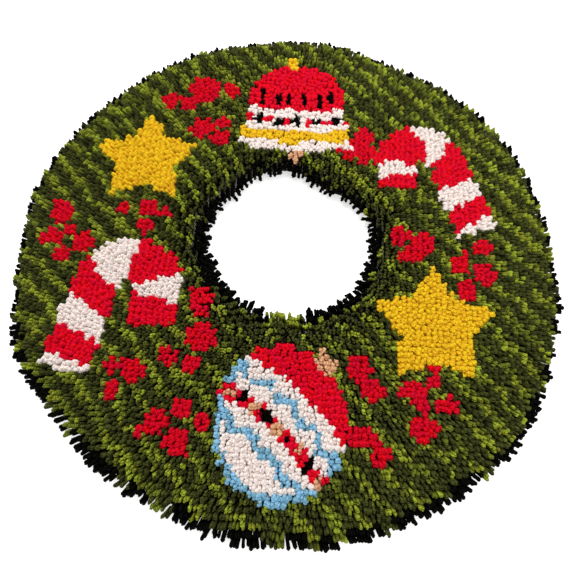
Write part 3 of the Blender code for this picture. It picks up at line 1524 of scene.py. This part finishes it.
    def build(self) -> dict[Zone, bpy.types.Object]:
        """Makes one piece of pile for each zone.

        Returns:
            The pieces by zone.
        """
        s = self.strands()
        self.crowd(s)
        shape = self.strand
        ply = Lathe(shape.sides, tuple(ring[0] for ring in shape.rings), True)
        n = len(self.knots)
        knots = self.knot.corners(self.knots, (s["lean"][:n] + s["lean"][n:]) / 2)
        rng = np.random.default_rng(SEED + 5)
        pieces = {}
        for zone in Zone:
            on = s["zone"] == int(zone)
            part = {k: v[on] for k, v in s.items()}
            under = self.zones == int(zone)
            heap = Heap()
            tone = np.tile(part["tone"], shape.plies)
            tone = np.clip(tone + rng.normal(0, self.chance.ply_tone, len(tone)), 0, 1)
            heap.add(ply, self.corners(part), np.tile(part["yarn"], shape.plies), tone)
            heap.add(
                self.knot.lathe(), knots[under], self.yarns[under],
                np.full(under.sum(), self.knot.tone),
            )
            piece = heap.mesh(f"tufts_{zone.name.lower()}", self.spinner)
            pieces[zone] = piece
            LOG.info("%s: %d strand ends, %d knots", piece.name, on.sum(), under.sum())
        return pieces


@dataclass
class Canvas:
    """The canvas ring under the pile: a thin sheet and the thread pairs on it.

    Args:
        ring: the ring's cut edges.
        thick: thickness of the sheet.
        thread: width of one thread.
        apart: between the middles of the two threads of a pair.
        halves: half thicknesses of the weft and of the warp.
        inset: how far inside the cut edge a thread ends.
        least: no run of thread is shorter.
        step: how finely the ends of the runs are found.
    """

    ring: Ring
    thick: float = 0.6 * MM
    thread: float = 1.1 * MM
    apart: float = 1.7 * MM
    halves: tuple[float, float] = (0.75 * MM, 0.6 * MM)
    inset: float = 0.8 * MM
    least: float = 3.0 * MM
    step: float = 0.5 * MM

    def sheet(self, node: bpy.types.Object) -> bpy.types.Object:
        """Thin sheet with the outline of the CAD canvas.

        Args:
            node: the CAD canvas.

        Returns:
            The sheet.
        """
        sheet = placed("canvas_sheet", node.data.copy())
        low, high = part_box(node.name)
        share = self.thick / (high.z - low.z)
        middle = (0.0, 0.0, (low.z + high.z) / 2)
        edited(
            sheet,
            lambda: bpy.ops.mesh.remove_doubles(threshold=1e-6),
            lambda: bpy.ops.transform.resize(
                value=(1.0, 1.0, share), center_override=middle
            ),
        )
        sheet.data.materials.clear()
        # painted shade: the sheet's cloth is nearly black green, standing in for the
        # shade seen through the canvas's openings
        sheet.data.materials.append(self.cloth("canvas_cloth_painted_shade", True))
        LOG.info("%s: %d corners", sheet.name, len(sheet.data.vertices))
        return sheet

    def runs(self, offset: float, along_x: bool) -> list[tuple[float, float]]:
        """Where a straight thread lies within the ring.

        Args:
            offset: how far the thread lies from the middle.
            along_x: whether it runs along X.

        Returns:
            The two ends of each of its runs.
        """
        line = np.arange(-GRID_REACH, GRID_REACH, self.step)
        level = np.full(line.shape, offset)
        x, y = (line, level) if along_x else (level, line)
        inside = np.minimum(*self.ring.margins(x, y)) > self.inset
        turns = np.flatnonzero(np.diff(inside.astype(int)))
        ends = [float(line[i]) for i in turns]
        return [(a, b) for a, b in zip(ends[::2], ends[1::2]) if b - a > self.least]

    def threads(self, middle: float) -> bpy.types.Object:
        """Pairs of warp and weft threads, a knot's pitch apart.

        Args:
            middle: height of the canvas's middle.

        Returns:
            All threads as one piece.
        """
        count = int(GRID_REACH / KNOT_PITCH)
        weft, warp = self.halves
        square = ((-1, -1), (1, -1), (1, 1), (-1, 1))
        corners = []
        for along_x, shift, half in ((True, 0.5, weft), (False, 0.0, warp)):
            for i in range(-count - 1, count + 1):
                for side in (-0.5, 0.5):
                    offset = (i + shift) * KNOT_PITCH + side * self.apart
                    for run in self.runs(offset, along_x):
                        box = [
                            (p, offset + q * self.thread / 2, middle + r * half)
                            for p in run for q, r in square
                        ]
                        if not along_x:
                            box = [(y, x, z) for x, y, z in box]
                        corners.append(box)
        n = len(corners)
        faces = [(0, 3, 2, 1), (4, 5, 6, 7)]
        faces += [(k, (k + 1) % 4, 4 + (k + 1) % 4, 4 + k) for k in range(4)]
        mesh = bpy.data.meshes.new("canvas_threads")
        mesh.from_pydata(
            [c for box in corners for c in box],
            [],
            [tuple(8 * i + c for c in face) for i in range(n) for face in faces],
        )
        piece = placed("canvas_threads", mesh)
        edited(piece)
        mesh.materials.append(self.cloth("canvas_thread", False))
        LOG.info("%s: %d threads", piece.name, n)
        return piece

    def cloth(self, name: str, shaded_openings: bool) -> bpy.types.Material:
        """Stiff cotton, with painted shade for the canvas's openings or without: then
        nearly black green over most of it.

        Args:
            name: name of the material.
            shaded_openings: whether the openings' painted shade is laid over it.

        Returns:
            The material.
        """
        mat, shader = surface(name, Specular_IOR_Level=0.2)
        nodes, links = mat.node_tree.nodes, mat.node_tree.links
        place = nodes.new("ShaderNodeTexCoord")
        fuzz = nodes.new("ShaderNodeTexNoise")
        put(fuzz, Scale=900.0)
        links.new(place.outputs["Object"], fuzz.inputs["Vector"])
        tone = nodes.new("ShaderNodeValToRGB")
        stops = ((0.3, (0.36, 0.32, 0.24, 1)), (0.7, (0.66, 0.61, 0.49, 1)))
        for element, (position, shade) in zip(tone.color_ramp.elements, stops):
            element.position, element.color = position, shade
        links.new(fuzz.outputs["Fac"], tone.inputs["Fac"])
        colour = tone.outputs["Color"]
        # painted shade: the cloth is mixed nearly all the way to black green, for the
        # shade seen through the canvas's openings
        if shaded_openings:
            dark = nodes.new("ShaderNodeMix")
            dark.data_type = "RGBA"
            put(dark, Factor=0.94)
            dark.inputs[7].default_value = (0.012, 0.013, 0.006, 1)
            links.new(colour, dark.inputs[6])
            colour = dark.outputs[2]
        links.new(colour, shader.inputs["Base Color"])
        rough = nodes.new("ShaderNodeMapRange")
        put(rough, To_Min=0.75, To_Max=0.95)
        links.new(fuzz.outputs["Fac"], rough.inputs["Value"])
        links.new(rough.outputs["Result"], shader.inputs["Roughness"])
        raised(mat, fuzz.outputs["Fac"], 0.4, 0.2 * MM)
        return mat


@dataclass
class Studio:
    """Pale floor, soft light and the camera, in metres, degrees and millimetres."""

    camera_at: tuple[float, float, float] = (0.00565, -0.29598, 0.62778)
    look_at: tuple[float, float, float] = (0.00565, -0.05248, 0.0)
    roll: float = -3.0
    lens: float = 33.517
    lamps: tuple[tuple[str, tuple[float, float, float], float, float], ...] = (
        # name, place, size, power in watts
        ("key", (-0.2, 0.8, 1.6), 1.1, 22.0),
        ("fill", (0.9, -0.6, 1.5), 1.4, 7.0),
    )

    def floor(self) -> bpy.types.Object:
        """Lays a wide pale floor under the rug.

        Returns:
            The floor.
        """
        bpy.ops.object.select_all(action="DESELECT")
        bpy.ops.mesh.primitive_plane_add(size=12.0, location=(0, 0, -0.0004))
        floor = bpy.context.object
        floor.name = "floor"
        mat, _ = surface(
            "pale_floor", Base_Color=(0.93, 0.93, 0.92, 1), Roughness=0.9,
            Specular_IOR_Level=0.1, Emission_Color=(1.0, 1.0, 1.0, 1),
            Emission_Strength=0.5,
        )
        floor.data.materials.append(mat)
        return floor

    def lights(self) -> None:
        """Even sky and two broad soft lamps overhead: a key and a fill."""
        world = bpy.data.worlds.new("studio")
        bpy.context.scene.world = world
        world.use_nodes = True
        back = world.node_tree.nodes["Background"]
        put(back, Color=(1.0, 0.995, 0.985, 1), Strength=0.78)
        for name, place, size, power in self.lamps:
            lamp = bpy.data.lights.new(name, "AREA")
            lamp.size, lamp.energy = size, power
            obj = bpy.data.objects.new(name, lamp)
            obj.location = place
            obj.rotation_euler = (-Vector(place)).to_track_quat("-Z", "Y").to_euler()
            bpy.context.scene.collection.objects.link(obj)

    def camera(self) -> None:
        """Camera at the angle that the rug is seen from."""
        data = bpy.data.cameras.new("camera")
        data.sensor_width, data.lens = 36.0, self.lens
        data.clip_start, data.clip_end = 0.01, 50.0
        cam = bpy.data.objects.new("camera", data)
        eye, aim = Vector(self.camera_at), Vector(self.look_at)
        ahead = (aim - eye).normalized()
        right = ahead.cross(Vector((0, 0, 1))).normalized()
        up = right.cross(ahead)
        turn = math.radians(self.roll)
        cam_right = right * math.cos(turn) - up * math.sin(turn)
        cam_up = right * math.sin(turn) + up * math.cos(turn)
        cam.matrix_world = Matrix.Translation(eye) @ Matrix(
            (cam_right, cam_up, -ahead)
        ).transposed().to_4x4()
        bpy.context.scene.collection.objects.link(cam)
        bpy.context.scene.camera = cam

    def colours(self) -> None:
        """Plain colours, as the lamps give them."""
        view = bpy.context.scene.view_settings
        view.view_transform, view.look = "Standard", "None"
        view.exposure, view.gamma = 0.0, 1.0


def main() -> None:
    """Builds the rug, the floor, the light and the camera."""
    logging.basicConfig(level=logging.INFO, format="%(name)s: %(message)s")
    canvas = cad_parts["canvas"]
    ring = Ring(canvas)
    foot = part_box("canvas")[1].z - 0.3 * MM
    pile = Pile(ring, Chart(ring), Lie(ring), Strand(), Knot(), Spinner(), foot)
    pieces = pile.build()
    for zone, piece in pieces.items():
        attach(piece, "root")
        node = {Zone.OUTER_EDGE: "pile_outer_edge", Zone.INNER_EDGE: "pile_inner_edge"}
        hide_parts(node.get(zone, "pile_ground"))
    base = Canvas(ring)
    low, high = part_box("canvas")
    sheet = base.sheet(canvas)
    threads = base.threads((low.z + high.z) / 2)
    for piece in (sheet, threads):
        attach(piece, "root")
    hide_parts("canvas")
    studio = Studio()
    studio.floor()
    studio.lights()
    studio.camera()
    studio.colours()


if __name__ == "__main__":
    main()
